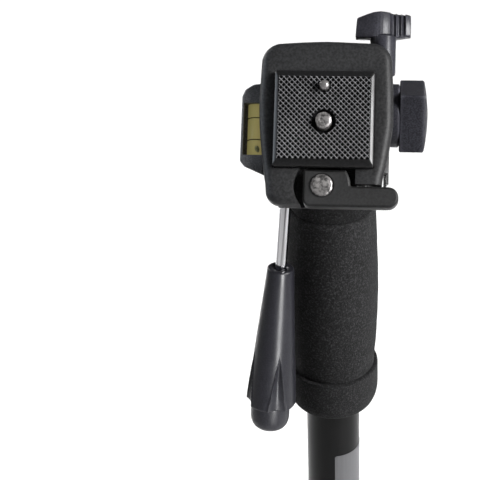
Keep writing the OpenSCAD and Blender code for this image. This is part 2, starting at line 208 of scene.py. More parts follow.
def rounded(corners, r, n=4):
    """Closed polygon with its corners rounded. corners: (x, y) or (x, y, own radius)."""
    out = []
    m = len(corners)
    for i in range(m):
        a, b, c = (Vector(corners[j % m][:2]) for j in (i - 1, i, i + 1))
        rr = corners[i][2] if len(corners[i]) > 2 else r
        if rr <= 0:
            out.append(tuple(b))
            continue
        u, w = (a - b).normalized(), (c - b).normalized()
        ang = u.angle(w)
        t = min(rr / math.tan(ang / 2), 0.49 * (a - b).length, 0.49 * (c - b).length)
        rr = t * math.tan(ang / 2)
        p, q = b + u * t, b + w * t
        o = b + (u + w).normalized() * (rr / math.sin(ang / 2))
        a0 = math.atan2(p.y - o.y, p.x - o.x)
        a1 = math.atan2(q.y - o.y, q.x - o.x)
        d = (a1 - a0 + math.pi) % (2 * math.pi) - math.pi
        out += [(o.x + rr * math.cos(a0 + d * k / n), o.y + rr * math.sin(a0 + d * k / n)) for k in range(n + 1)]
    return out


def catmull(pts, k):
    pts = [Vector(p) for p in pts]
    n = len(pts)
    out = []
    for i in range(n - 1):
        a, b, c, d = pts[max(i - 1, 0)], pts[i], pts[i + 1], pts[min(i + 2, n - 1)]
        for j in range(k):
            t = j / k
            out.append(0.5 * (2 * b + (c - a) * t + (2 * a - 5 * b + 4 * c - d) * t * t + (3 * b - a - 3 * c + d) * t * t * t))
    out.append(pts[-1])
    return out


def soften(profile, r, n=3):
    """Open profile with its inner corners rounded."""
    out = [tuple(profile[0])]
    for i in range(1, len(profile) - 1):
        a, b, c = (Vector(p) for p in profile[i - 1:i + 2])
        u, w = a - b, c - b
        if u.length < 1e-6 or w.length < 1e-6:
            continue
        t = min(r, 0.45 * u.length, 0.45 * w.length)
        p, q = b + u.normalized() * t, b + w.normalized() * t
        for k in range(n + 1):
            s = k / n
            out.append(tuple(p * (1 - s) ** 2 + b * (2 * s * (1 - s)) + q * s * s))
    out.append(tuple(profile[-1]))
    return out


def along(pts, x):
    """Straight lines through (x, y) points."""
    if x <= pts[0][0]:
        return pts[0][1]
    for (x0, y0), (x1, y1) in zip(pts, pts[1:]):
        if x <= x1:
            return y0 + (y1 - y0) * (x - x0) / max(1e-9, x1 - x0)
    return pts[-1][1]


def lathe(name, profile, seg=96, fn=None, closed=False):
    """Revolved (r, z) profile about z. fn(angle, r, z) may change the radius."""
    verts, faces, rows = [], [], []
    for r, z in profile:
        if r < 1e-6:
            rows.append([len(verts)])
            verts.append((0, 0, z))
        else:
            rows.append(list(range(len(verts), len(verts) + seg)))
            for k in range(seg):
                a = 2 * math.pi * k / seg
                rr = fn(a, r, z) if fn else r
                verts.append((rr * math.cos(a), rr * math.sin(a), z))
    pairs = list(zip(rows, rows[1:])) + ([(rows[-1], rows[0])] if closed else [])
    for p, q in pairs:
        for k in range(seg):
            k1 = (k + 1) % seg
            if len(p) == 1 and len(q) == 1:
                continue
            if len(p) == 1:
                faces.append((p[0], q[k1], q[k]))
            elif len(q) == 1:
                faces.append((p[k], p[k1], q[0]))
            else:
                faces.append((p[k], p[k1], q[k1], q[k]))
    o = make(name, verts, faces)
    fix(o)
    return o


def fix(o):
    bm = bmesh.new()
    bm.from_mesh(o.data)
    bmesh.ops.recalc_face_normals(bm, faces=bm.faces)
    bm.to_mesh(o.data)
    bm.free()
    o.data.update()


def sweep(name, path, r, sides=14, closed=False, fn=None):
    path = [Vector(p) for p in path]
    n = len(path)
    verts, faces = [], []
    ref = None
    for i, p in enumerate(path):
        a, b = (path[i - 1], path[(i + 1) % n]) if closed else (path[max(i - 1, 0)], path[min(i + 1, n - 1)])
        t = (b - a).normalized()
        if ref is None:
            ref = t.orthogonal().normalized()
        u = (ref - t * ref.dot(t)).normalized()
        w = t.cross(u)
        ref = u
        for k in range(sides):
            ang = 2 * math.pi * k / sides
            rr = fn(i, ang) * r if fn else r
            verts.append(p + rr * (math.cos(ang) * u + math.sin(ang) * w))
    m = n if closed else n - 1
    for i in range(m):
        for k in range(sides):
            j = (i + 1) % n
            faces.append((i * sides + k, i * sides + (k + 1) % sides, j * sides + (k + 1) % sides, j * sides + k))
    if not closed:
        faces.append(tuple(range(sides - 1, -1, -1)))
        faces.append(tuple((n - 1) * sides + k for k in range(sides)))
    o = make(name, verts, faces)
    fix(o)
    return o


def moved(o, M):
    o.data.transform(M)
    return o


def at(x, y, z=0.0):
    return Matrix.Translation((x, y, z))


def rot_y():
    """Turns +z onto +y."""
    return Matrix.Rotation(math.radians(-90), 4, "X")


def rot_x():
    """Turns +z onto +x."""
    return Matrix.Rotation(math.radians(90), 4, "Y")


def cyl(r, z0, z1, seg=64, name="c"):
    return lathe(name, [(0, z0), (r, z0), (r, z1), (0, z1)], seg)


def wobble(*k):
    """Repeatable small number from -1 to 1."""
    s = math.sin(sum((i + 1.7) * 12.9898 * v for i, v in enumerate(k))) * 43758.5453
    return 2 * (s - math.floor(s)) - 1


# ---------------------------------------------------------------- materials
def tree(name):
    m = bpy.data.materials.new(name)
    m.use_nodes = True
    nt = m.node_tree
    b = nt.nodes["Principled BSDF"]
    tc = nt.nodes.new("ShaderNodeTexCoord")
    return m, nt, b, tc.outputs["Object"]


def noise(nt, co, scale, detail=3.0, rough=0.55, stretch=None, distort=0.0):
    if stretch:
        mp = nt.nodes.new("ShaderNodeMapping")
        mp.inputs["Scale"].default_value = stretch
        nt.links.new(co, mp.inputs["Vector"])
        co = mp.outputs["Vector"]
    n = nt.nodes.new("ShaderNodeTexNoise")
    n.inputs["Scale"].default_value = scale
    n.inputs["Detail"].default_value = detail
    n.inputs["Roughness"].default_value = rough
    n.inputs["Distortion"].default_value = distort
    nt.links.new(co, n.inputs["Vector"])
    return n.outputs["Fac"]


def ramp(nt, fac, stops):
    r = nt.nodes.new("ShaderNodeValToRGB")
    e = r.color_ramp.elements
    while len(e) < len(stops):
        e.new(0.5)
    for x, (p, c) in zip(e, stops):
        x.position = p
        x.color = (*c, 1) if len(c) == 3 else c
    nt.links.new(fac, r.inputs["Fac"])
    return r.outputs["Color"]


def span(nt, fac, a, b, lo=0.3, hi=0.7):
    r = nt.nodes.new("ShaderNodeMapRange")
    for k, v in zip(("From Min", "From Max", "To Min", "To Max"), (lo, hi, a, b)):
        r.inputs[k].default_value = v
    nt.links.new(fac, r.inputs["Value"])
    return r.outputs["Result"]


def mixed(nt, fac, a, b, mode="MIX"):
    m = nt.nodes.new("ShaderNodeMix")
    m.data_type = "RGBA"
    m.blend_type = mode
    for s, v in ((m.inputs[0], fac), (m.inputs[6], a), (m.inputs[7], b)):
        if isinstance(v, (int, float)):
            s.default_value = v
        elif isinstance(v, tuple):
            s.default_value = (*v, 1)
        else:
            nt.links.new(v, s)
    return m.outputs[2]


def bump(nt, b, *layers):
    """Stacked bumps: (height, distance in metres, strength)."""
    last = None
    for h, dist, strength in layers:
        n = nt.nodes.new("ShaderNodeBump")
        n.inputs["Distance"].default_value = dist
        n.inputs["Strength"].default_value = strength
        nt.links.new(h, n.inputs["Height"])
        if last is not None:
            nt.links.new(last, n.inputs["Normal"])
        last = n.outputs["Normal"]
    nt.links.new(last, b.inputs["Normal"])


def height_along(nt, co, axis, zero):
    """Distance along a fixed axis of the piece, in metres."""
    d = nt.nodes.new("ShaderNodeVectorMath")
    d.operation = "DOT_PRODUCT"
    d.inputs[1].default_value = axis
    nt.links.new(co, d.inputs[0])
    s = nt.nodes.new("ShaderNodeMath")
    s.operation = "SUBTRACT"
    s.inputs[1].default_value = zero
    nt.links.new(d.outputs["Value"], s.inputs[0])
    return s.outputs[0]


def grey(v):
    return (v, v, v * 1.04)


def moulded(name, c, rough=(0.45, 0.6), grain=2600, depth=0.00004, strength=0.35, vary=0.12, spec=0.3, lighten=0.0):
    """Moulded plastic: mottled colour, fine spark texture, uneven gloss, edges painted lighter, partly as rubbed wear
    and partly as a painted highlight.
    """
    m, nt, b, co = tree(name)
    big = noise(nt, co, 55, 4)
    fine = noise(nt, co, grain, 2, 0.6)
    dark, light = tuple(x * (1 - vary) for x in c), tuple(x * (1 + vary) for x in c)
    col = ramp(nt, big, [(0.3, dark), (0.7, light)])
    spk = ramp(nt, fine, [(0.36, tuple(x * 0.4 for x in c)), (0.64, tuple(x * 1.65 for x in c))])
    col = mixed(nt, 0.6, col, spk)
    # sharp edges lightened by pointiness: rubbed wear and a painted highlight along them
    if lighten > 0:
        g = nt.nodes.new("ShaderNodeNewGeometry")
        edge = span(nt, g.outputs["Pointiness"], 0, lighten, 0.52, 0.62)
        col = mixed(nt, edge, col, tuple(min(1, x * 2.6 + 0.02) for x in c))
    nt.links.new(col, b.inputs["Base Color"])
    nt.links.new(span(nt, noise(nt, co, 130, 5), *rough), b.inputs["Roughness"])
    b.inputs["Specular IOR Level"].default_value = spec
    bump(nt, b, (fine, depth, strength))
    return m


def metal(name, c, rough=(0.12, 0.24), scratch=None, speck=0, depth=0.00003, strength=0.2, dirt=0.25, metallic=1.0):
    m, nt, b, co = tree(name)
    b.inputs["Metallic"].default_value = metallic
    big = noise(nt, co, 160, 4)
    col = ramp(nt, big, [(0.25, tuple(x * (1 - dirt) for x in c)), (0.6, c)])
    h = noise(nt, co, 900, 3, 0.6, scratch)
    layers = [(h, depth, strength)]
    if speck:
        pits = noise(nt, co, speck, 3, 0.6)
        col = mixed(nt, span(nt, pits, 0.9, 0, 0.38, 0.56), col, tuple(x * 0.12 for x in c))
        layers.append((pits, 0.0003, 0.7))
    nt.links.new(col, b.inputs["Base Color"])
    nt.links.new(span(nt, h, *rough), b.inputs["Roughness"])
    bump(nt, b, *layers)
    return m


# the last number of each moulded plastic lightens its sharp edges: partly rubbed wear, partly a painted highlight; on
# the tilt knob it is set high to paint the highlight line along the corners
ABS = moulded("charcoal_plastic", grey(0.0285), (0.46, 0.56), 1050, 0.00009, 0.45, 0.14, 0.4, 0.25)
# a darker copy of the charcoal plastic: partly the lever's own darker tone, partly painted shade that offsets the lamps
# linked to the lever alone
LEVER_ABS = moulded("lever_plastic", grey(0.011), (0.46, 0.56), 1050, 0.00009, 0.45, 0.14, 0.45, 0.7)
PLATE = moulded("plate_plastic", grey(0.012), (0.27, 0.36), 1300, 0.00004, 0.3, 0.12, 0.6, 0.3)
HOUSING = moulded("housing_plastic", grey(0.125), (0.36, 0.48), 1800, 0.00004, 0.3, 0.12, 0.35, 0.2)
KNOB = moulded("knob_plastic", (0.034, 0.034, 0.042), (0.44, 0.56), 1600, 0.00003, 0.2, 0.12, 0.18, 1.6)
WING = moulded("wing_plastic", (0.026, 0.026, 0.032), (0.27, 0.35), 1600, 0.00003, 0.2, 0.12, 0.45, 0.3)
LOCK = moulded("lock_plastic", grey(0.014), (0.28, 0.42), 2600, 0.00003, 0.25, 0.12, 0.4, 0.15)
HANDLE = moulded("handle_plastic", (0.014, 0.014, 0.018), (0.3, 0.38), 1600, 0.00002, 0.12, 0.12, 0.5, 0.1)
INNER = moulded("inner_plastic", grey(0.03), (0.5, 0.65))
PIT = moulded("line_ink", grey(0.004), (0.5, 0.65))
NYLON = moulded("nylon", (0.6, 0.6, 0.57), (0.4, 0.55), 1800, 0.00004, 0.2, 0.06)
RUBBER = moulded("black_rubber", grey(0.012), (0.55, 0.75), 1500, 0.0001, 0.5, 0.2, 0.25)
STEEL = metal("turned_steel", (0.45, 0.45, 0.46), (0.22, 0.38), (1, 1, 0.15))
NICKEL = metal("nickel_plate", (0.77, 0.74, 0.73), (0.3, 0.45), None, 620, dirt=0.4, metallic=0.75)
NICKEL_SMOOTH = metal("nickel_smooth", (0.58, 0.55, 0.55), (0.25, 0.4), None, 0, dirt=0.2, metallic=0.75)
CHROME = metal("polished_chrome", (0.86, 0.86, 0.88), (0.06, 0.1), (1, 1, 0.05), 0, 0.00001, 0.1, 0.08)


def anodised():
    m, nt, b, co = tree("black_anodised")
    streak = noise(nt, co, 700, 3, 0.6, (1, 1, 0.03))
    big = noise(nt, co, 25, 4)
    c1 = ramp(nt, big, [(0.3, grey(0.004)), (0.7, grey(0.007))])
    c2 = ramp(nt, streak, [(0.35, grey(0.004)), (0.65, grey(0.008))])
    nt.links.new(mixed(nt, 0.4, c1, c2), b.inputs["Base Color"])
    nt.links.new(span(nt, streak, 0.28, 0.34), b.inputs["Roughness"])
    b.inputs["Specular IOR Level"].default_value = 0.2
    bump(nt, b, (streak, 0.000006, 0.2))
    return m


TUBE = anodised()


def foam_material(name, k, grit):
    """Matt foam or soft rubber: black with fine light grit."""
    m, nt, b, co = tree(name)
    cells = nt.nodes.new("ShaderNodeTexVoronoi")
    cells.inputs["Scale"].default_value = grit * 1.6
    nt.links.new(co, cells.inputs["Vector"])
    grain = noise(nt, co, grit, 3, 0.6)
    patch = noise(nt, co, 120, 4, 0.6)
    c1 = ramp(nt, grain, [(0.38, grey(0.004 * k)), (0.52, grey(0.020 * k)), (0.68, grey(0.085 * k))])
    c2 = ramp(nt, patch, [(0.3, grey(0.012 * k)), (0.7, grey(0.030 * k))])
    nt.links.new(mixed(nt, 0.4, c1, c2), b.inputs["Base Color"])
    nt.links.new(span(nt, grain, 0.8, 0.98), b.inputs["Roughness"])
    b.inputs["Specular IOR Level"].default_value = 0.2
    bump(nt, b, (grain, 0.0005, 0.7), (cells.outputs["Distance"], 0.0003, 0.6))
    return m


FOAM = foam_material("foam", 0.72, 1150)
BASE = foam_material("soft_rubber", 0.75, 1350)


def knurl_material():
    """Grey rubber with worn, patchy tone on the ridges; pits and their lower slopes near black, a painted shade in the
    recesses.
    """
    m, nt, b, co = tree("knurled_pad")
    n = noise(nt, co, 700, 3, 0.6)
    lighten = noise(nt, co, 60, 4, 0.6)
    h = height_along(nt, co, (0, -0.70710678, 0.70710678), 0.590 * 0.70710678)
    top = mixed(nt, 0.5, ramp(nt, n, [(0.3, grey(0.20)), (0.7, grey(0.54))]), ramp(nt, lighten, [(0.35, grey(0.25)), (0.65, grey(0.43))]))
    # near black below the ridge tops: painted shade in the pits and on their lower slopes
    f = span(nt, h, 0, 1, 0.05340, 0.05385)
    nt.links.new(mixed(nt, f, grey(0.0025), top), b.inputs["Base Color"])
    nt.links.new(span(nt, n, 0.5, 0.75), b.inputs["Roughness"])
    b.inputs["Specular IOR Level"].default_value = 0.2
    bump(nt, b, (n, 0.00005, 0.3))
    return m


PAD = knurl_material()


def vial_material():
    m, nt, b, co = tree("level_liquid")
    n = noise(nt, co, 90, 3)
    # greener at the vial's left side, brighter ochre at its right: painted light and shade across the liquid
    side = height_along(nt, co, (1, 0, 0), -0.0281)
    c = mixed(nt, span(nt, side, 0, 1, -0.0028, 0.0026), (0.52, 0.56, 0.17), (0.80, 0.62, 0.24))
    c2 = ramp(nt, n, [(0.3, (0.60, 0.60, 0.20)), (0.7, (0.72, 0.66, 0.28))])
    nt.links.new(mixed(nt, 0.3, c, c2), b.inputs["Base Color"])
    nt.links.new(span(nt, n, 0.1, 0.18), b.inputs["Roughness"])
    b.inputs["Specular IOR Level"].default_value = 0.4
    b.inputs["Coat Weight"].default_value = 0.3
    b.inputs["Coat Roughness"].default_value = 0.08
    # a faint yellow glow of its own: painted light that lifts the liquid out of the platform's shade
    b.inputs["Emission Color"].default_value = (1.0, 0.86, 0.34, 1)
    b.inputs["Emission Strength"].default_value = 0.15
    return m


VIAL = vial_material()


def bubble_material():
    m, nt, b, co = tree("level_air")
    n = noise(nt, co, 500, 3)
    nt.links.new(ramp(nt, n, [(0.35, (0.34, 0.38, 0.10)), (0.65, (0.80, 0.76, 0.40))]), b.inputs["Base Color"])
    nt.links.new(span(nt, n, 0.05, 0.12), b.inputs["Roughness"])
    b.inputs["Coat Weight"].default_value = 0.6
    b.inputs["Coat Roughness"].default_value = 0.05
    return m


BUBBLE = bubble_material()


def cord_material():
    m, nt, b, co = tree("braided_cord")
    w = nt.nodes.new("ShaderNodeTexWave")
    w.inputs["Scale"].default_value = 320
    w.inputs["Distortion"].default_value = 2.0
    w.bands_direction = "DIAGONAL"
    nt.links.new(co, w.inputs["Vector"])
    n = noise(nt, co, 1600, 2)
    c = ramp(nt, w.outputs["Fac"], [(0.2, grey(0.006)), (0.8, grey(0.030))])
    nt.links.new(mixed(nt, 0.3, c, ramp(nt, n, [(0.4, grey(0.01)), (0.7, grey(0.05))])), b.inputs["Base Color"])
    nt.links.new(span(nt, n, 0.7, 0.95), b.inputs["Roughness"])
    b.inputs["Sheen Weight"].default_value = 0.2
    bump(nt, b, (w.outputs["Fac"], 0.0003, 0.6), (n, 0.0001, 0.4))
    return m


CORD = cord_material()


def label_material():
    m, nt, b, co = tree("silver_label")
    b.inputs["Metallic"].default_value = 0.5
    n = noise(nt, co, 800, 3, 0.6, (1, 1, 0.04))
    nt.links.new(ramp(nt, n, [(0.3, grey(0.215)), (0.7, grey(0.25))]), b.inputs["Base Color"])
    nt.links.new(span(nt, n, 0.32, 0.5), b.inputs["Roughness"])
    b.inputs["Specular IOR Level"].default_value = 0.3
    bump(nt, b, (n, 0.00001, 0.2))
    return m


LABEL = label_material()


def wire_material():
    m, nt, b, co = tree("black_coat")
    n = noise(nt, co, 500, 3)
    nt.links.new(ramp(nt, n, [(0.3, grey(0.006)), (0.7, grey(0.014))]), b.inputs["Base Color"])
    nt.links.new(span(nt, n, 0.16, 0.28), b.inputs["Roughness"])
    b.inputs["Coat Weight"].default_value = 0.4
    bump(nt, b, (n, 0.00008, 0.25))
    return m


WIRE = wire_material()


# ---------------------------------------------------------------- strap cord (first of the pieces)
strap_route = [(-1.7, 22.2, 545.5), (-1.9, 22.2, 538), (-3.4, 22.2, 524), (-5, 22.3, 505), (-6.2, 22.4, 480), (-7, 22.4, 455),
               (-7.6, 22.3, 432), (-7.8, 22.2, 416), (-6.4, 22.1, 406.5), (-3.3, 22, 402.3), (0.4, 22, 401.2), (4.2, 22, 402.5), (7.2, 22.1, 407),
               (8.4, 22.2, 416), (8, 22.3, 432), (7.2, 22.4, 455), (6.2, 22.4, 480), (5, 22.3, 505), (3.4, 22.2, 524), (1.9, 22.2, 538), (1.7, 22.2, 545.5)]
cord_path = catmull(strap_route, 12)
cord = sweep("wrist_cord", cord_path, 1.5, 16, fn=lambda i, a: 0.97 + 0.03 * math.cos(4 * a + i * 0.9))
place(cord, CORD, "pan", "strap_cord", angle=60)


# ---------------------------------------------------------------- flip platform
def platform_outline():
    p = arc(17.6, 23.6, 8.6, 8, 76, 10) + [(15, 32.12), (10, 32.3), (5, 32.5), (0, 32.6), (-5, 32.45), (-10, 32.2), (-15, 31.86)]
    p += arc(-17.0, 23.2, 8.6, 104, 172, 10) + [(-25.75, 18), (-25.9, 14), (-26.05, 9.5), (-26, 5.4), (-25.85, 2), (-25.7, -1), (-25.2, -7), (-24.5, -13), (-23.7, -19.3), (-22.7, -25)]
    p += arc(-16.6, -27.6, 6, 200, 270, 9) + [(-8, -33.6), (0, -33.6), (8, -33.6)] + arc(16.9, -27.6, 6, 270, 340, 9)
    p += [(23.3, -23), (24.4, -18.5), (25.4, -13), (26.25, -7), (26.7, -3.5), (26.9, -1), (26.95, 2), (26.9, 5), (26.85, 9.5), (26.7, 14), (26.4, 19)]
    return [(x + PX, y + PV) for x, y in p]


plat = prism("flip_platform", platform_outline(), 27, 49, 3.2, 1.2, 8)
seat = prism("b", rounded([(PX - 19.9, PV - 19.5), (PX + 19.9, PV - 19.5), (PX + 19.9, PV + 19.5), (PX - 19.9, PV + 19.5)], 1.0), 45, 60)
well = prism("b", [(LEVER[0] + x, LEVER[1] + y) for x, y in arc(0, 0, 11.1, 0, 352.5, 47)], 40.5, 60)
well2 = box(LEVER[0], LEVER[0] + 13, LEVER[1] - 12, LEVER[1] + 7, 40.52, 60)
notch = box(PX + 7, 60, -70, PV - 25.4, 42.6, 60)
cut(plat, seat, well, well2, notch,
    box(13, 60, -60, 2.1, 10, 44.5), box(13, 60, 7, 60, 10, 44.52), box(-60, -24, -36.3, 3, 10, 42.3), box(-60, -18, -60, -36.31, 10, 42.34), box(-60, 60, -60, -43.6, 10, 39.3),
    box(25, 60, -60, 60, 10, 31), box(-22, 12, -27, 12, 10, 41))
bevel(plat, 0.45, 3, 40)
place(plat, ABS, "flip", "platform", HEAD)

# ---------------------------------------------------------------- level
hous_out = rounded([(-24, 2.6, 0), (-29.3, 1.9, 2), (-32.6, -0.2, 2), (-33.8, -3, 2), (-33.9, -29.6, 1.6), (-32.2, -31.8, 1.6), (-24, -35.4, 0)], 1.0)
hous = loft("level_housing", [[(x, y + 0.21 * (42.3 - z) * min(1, max(0, (-18 - y) / 12)), z) for x, y in inset(hous_out, d)] for z, d in (
    (27.2, 0.9), (27.35, 0.45), (27.7, 0.12), (28.1, 0), (33, 0), (38, 0), (41.4, 0), (41.8, 0.12), (42.12, 0.42), (42.3, 0.9))])
bore = moved(cyl(3.6, -28, -4, 48), at(-28.1, 0, 36.9) @ rot_y())
cut(hous, bore, box(-33, -25.2, -27, -5.8, 36.9, 60))
bevel(hous, 0.3, 2, 40)
place(hous, HOUSING, "flip", "bubble_housing", HEAD)
vial = lathe("level_vial", soften([(0, -27.8), (3.5, -27.8), (3.5, -4.2), (0, -4.2)], 0.8), 48)
moved(vial, at(-28.1, 0, 36.9) @ rot_y())
place(vial, VIAL, "flip", "bubble_vial", HEAD)
bub = lathe("level_bubble", [(2.0 * math.sin(math.pi * k / 16), -2.0 * math.cos(math.pi * k / 16)) for k in range(17)], 32)
moved(bub, at(-27.6, -24.0, 39.75) @ Matrix.Rotation(math.radians(12), 4, "Z") @ Matrix.Diagonal((0.62, 1.05, 0.38, 1)))
place(bub, BUBBLE, "flip", None, HEAD)
for i, v in enumerate((-11.4, -20.3)):
    ring = sweep("level_line_%d" % i, [(3.5 * math.cos(a), 3.5 * math.sin(a), v) for a in (2 * math.pi * k / 48 for k in range(48))], 0.2, 8, True)
    moved(ring, at(-28.1, 0, 36.9) @ rot_y())
    place(ring, PIT, "flip", None, HEAD)


# ---------------------------------------------------------------- quick release plate
def rect(hx, hy, r, cx=PX, cy=PV):
    return rounded([(cx - hx, cy - hy), (cx + hx, cy - hy), (cx + hx, cy + hy), (cx - hx, cy + hy)], r)


plate = loft("release_plate", [[(x, y, z) for x, y in rect(hx, hy, r)] for hx, hy, r, z in (
    (19.3, 18.85, 0.8, 45.05), (19.7, 19.25, 1.0, 45.5), (19.7, 19.25, 1.0, 51.7), (19.64, 19.15, 0.97, 52.0), (19.46, 18.85, 0.9, 52.26), (18.9, 18.0, 0.85, 52.58), (18.35, 17.0, 0.75, 52.9), (18.1, 16.7, 0.7, 53.0))])
cut(plate, moved(cyl(10.1, 40, 49.6, 96), at(*LEVER)), moved(cyl(7.6, 40, 48), at(PX, CAM_V)), moved(cyl(4.8, 47, 60), at(PX, CAM_V)),
    moved(cyl(3.1, 40, 50), at(PX, PIN_V)), moved(cyl(2.4, 49, 60), at(PX, PIN_V)))
bevel(plate, 0.15, 2, 40)
place(plate, PLATE, "plate", "qr_plate", HEAD)


def knurled_pad():
    """Rubber pad with a diagonal lattice of square pits between thin ridges, open around the screw and the pin."""
    hx, hy, top, low = 17.95, 16.45, 54.0, 53.2
    s = 1.518
    # one pit in section: ridge half, slope, floor, slope, ridge half
    knots = ((0.0, 1), (0.08, 1), (0.28, 0), (s - 0.28, 0), (s - 0.08, 1))
    n = int((hx + hy) / math.sqrt(2) / s) + 2
    line = [((k + q / s) * s, h) for k in range(-n, n) for q, h in knots]
    m = len(line)
    verts, faces = [], []
    for b, hb in line:
        for a, ha in line:
            x, y = (a + b) / math.sqrt(2), (a - b) / math.sqrt(2)
            verts.append((x, y, top if ha else 53.72 if hb else low))
    for j in range(m - 1):
        for i in range(m - 1):
            f = (j * m + i, j * m + i + 1, (j + 1) * m + i + 1, (j + 1) * m + i)
            c = [sum(verts[q][k] for q in f) / 4 for k in (0, 1)]
            if abs(c[0]) < hx + 1.5 and abs(c[1]) < hy + 1.5:
                faces.append(f[::-1])
    o = make("pad_knurled", verts, faces)
    bm = bmesh.new()
    bm.from_mesh(o.data)
    for co, no in (((hx, 0, 0), (1, 0, 0)), ((-hx, 0, 0), (-1, 0, 0)), ((0, hy, 0), (0, 1, 0)), ((0, -hy, 0), (0, -1, 0))):
        bmesh.ops.bisect_plane(bm, geom=bm.verts[:] + bm.edges[:] + bm.faces[:], plane_co=co, plane_no=no, clear_outer=True, dist=1e-5)
    bmesh.ops.delete(bm, geom=[v for v in bm.verts if not v.link_faces], context="VERTS")
    rim = [e for e in bm.edges if e.is_boundary]
    new = bmesh.ops.extrude_edge_only(bm, edges=rim)["geom"]
    down = [v for v in new if isinstance(v, bmesh.types.BMVert)]
    for v in down:
        v.co.z = 53.0
    bmesh.ops.holes_fill(bm, edges=[e for e in bm.edges if e.is_boundary], sides=0)
    bmesh.ops.recalc_face_normals(bm, faces=bm.faces)
    bm.to_mesh(o.data)
    bm.free()
    moved(o, at(PX, PV))
    cut(o, moved(cyl(4.85, 50, 60), at(PX, CAM_V)), moved(cyl(2.45, 50, 60, 48), at(PX, PIN_V)))
    return o


place(knurled_pad(), PAD, "plate", "plate_pad", HEAD, 25)

# dark rubber cups lining the screw hole and the pin hole: painted shade put into the holes
for i, (v, r, q) in enumerate(((CAM_V, 4.78, 3.3), (PIN_V, 2.38, 2.0))):
    shade_cup = lathe("hole_cup_%d" % i, [(r, 53.9), (r, 50.2), (q, 50.2), (q, 49.9), (r + 0.02, 49.9), (r + 0.04, 53.9)], 64, closed=True)
    moved(shade_cup, at(PX, v))
    place(shade_cup, RUBBER, "plate", None, HEAD)


def threaded(r, z0, z1, pitch, depth, seg=48):
    """Helical thread as a revolved screw surface with a chamfered, slightly dished end."""
    n = int((z1 - z0) / pitch * 6) + 1
    verts, faces, rows = [], [], []
    for z in [z0 + (z1 - z0) * k / n for k in range(n + 1)]:
        rows.append(list(range(len(verts), len(verts) + seg)))
        for k in range(seg):
            a = 2 * math.pi * k / seg
            ph = (z / pitch - k / seg) % 1.0
            rr = r - depth * (1 - abs(2 * ph - 1)) * min(1, (z1 - z) / 0.35 + 0.2)
            verts.append((rr * math.cos(a), rr * math.sin(a), z))
    for rr, z in ((r * 0.9, z1 + 0.05), (r * 0.78, z1 + 0.28), (r * 0.5, z1 + 0.30), (r * 0.2, z1 + 0.22)):
        rows.append(list(range(len(verts), len(verts) + seg)))
        for k in range(seg):
            a = 2 * math.pi * k / seg
            verts.append((rr * math.cos(a), rr * math.sin(a), z))
    for p, q in zip(rows, rows[1:]):
        for k in range(seg):
            faces.append((p[k], p[(k + 1) % seg], q[(k + 1) % seg], q[k]))
    faces += [tuple(rows[-1]), tuple(rows[0][::-1])]
    o = make("camera_screw_thread", verts, faces)
    fix(o)
    return o


scr = threaded(3.175, 49.6, 56.0, 1.27, 0.42)
moved(scr, at(PX, CAM_V))
place(scr, NICKEL, "screw", None, HEAD, 50)
head = lathe("camera_screw_head", soften([(0, 45.4), (7, 45.4), (7, 47.7), (2.6, 47.7), (2.6, 49.8), (0, 49.8)], 0.25), 72,
             lambda a, r, z: r - (0.25 if r > 6.5 and int(a / (2 * math.pi) * 36 + 0.25) % 2 else 0))
cut(head, box(-10, 10, -0.8, 0.8, 40, 46.6))
moved(head, at(PX, CAM_V))
place(head, NICKEL_SMOOTH, "screw", "camera_screw", HEAD)
pin = lathe("video_pin_body", [(0, 48.4), (1.65, 48.4), (1.75, 48.5), (1.75, 49.05), (2.6, 49.05), (2.75, 49.2), (2.75, 49.5), (2.6, 49.7), (1.7, 49.7), (1.7, 54.15), (1.85, 54.25), (1.9, 54.4), (1.9, 56.4), (1.78, 56.85), (1.45, 57.2), (0.9, 57.42), (0, 57.5)], 48)
moved(pin, at(PX, PIN_V))
place(pin, NICKEL_SMOOTH, "pin", "video_pin", HEAD)
# on the object this spring shortens as the pin goes down; here it has a mesh of its own
coil = sweep("video_pin_coil", [(2.2 * math.cos(k * math.pi / 10), 2.2 * math.sin(k * math.pi / 10), 45.6 + 3.1 * k / 80) for k in range(81)], 0.24, 8)
moved(coil, at(PX, PIN_V))
place(coil, STEEL, "plate", "pin_spring", HEAD, 60)
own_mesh(coil)

# ---------------------------------------------------------------- release lever and its screw
lev_pts = arc(-4.4, -5.35, 3.0, 180, 270, 6) + [(2, -8.35), (8, -8.35), (16, -8.35)] + arc(25.8, -4.225, 4.125, -90, 90, 16)
lev_pts += [(18, -0.1), (12.2, -0.1), (11.5, 0.1)] + arc(0, 0, 11.2, 2.4, 33.6, 8) + [(4, 6.2), (-3, 6.2), (-7.2, 6.2), (-7.4, 6.0), (-7.4, 0)]
lev_out = [(x + LEVER[0], y + LEVER[1]) for x, y in lev_pts]
lev = loft("release_lever", [[(x, y, z) for x, y in inset(lev_out, d)] for z, d in (
    (43, 0.4), (43.12, 0.12), (43.4, 0), (48.5, 0), (48.72, 0.05), (48.86, 0.16), (49.2, 0.72), (49.3, 0.85))])
cut(lev, moved(cyl(4.95, 48.8, 60, 64), at(*LEVER)))
bevel(lev, 0.12, 1, 60)
place(lev, LEVER_ABS, "release", "qr_lever", HEAD, 24)
lsc = lathe("lever_screw_head", soften([(0, 34), (2, 34), (2, 49.0), (4.25, 49.0), (4.4, 49.4), (4.35, 50.05), (3.9, 50.4), (2.6, 50.5), (0, 50.54)], 0.2), 64)
moved(lsc, at(*LEVER) @ Matrix.Rotation(math.radians(33), 4, "Z"))
place(lsc, NICKEL, "flip", "lever_screw", HEAD)


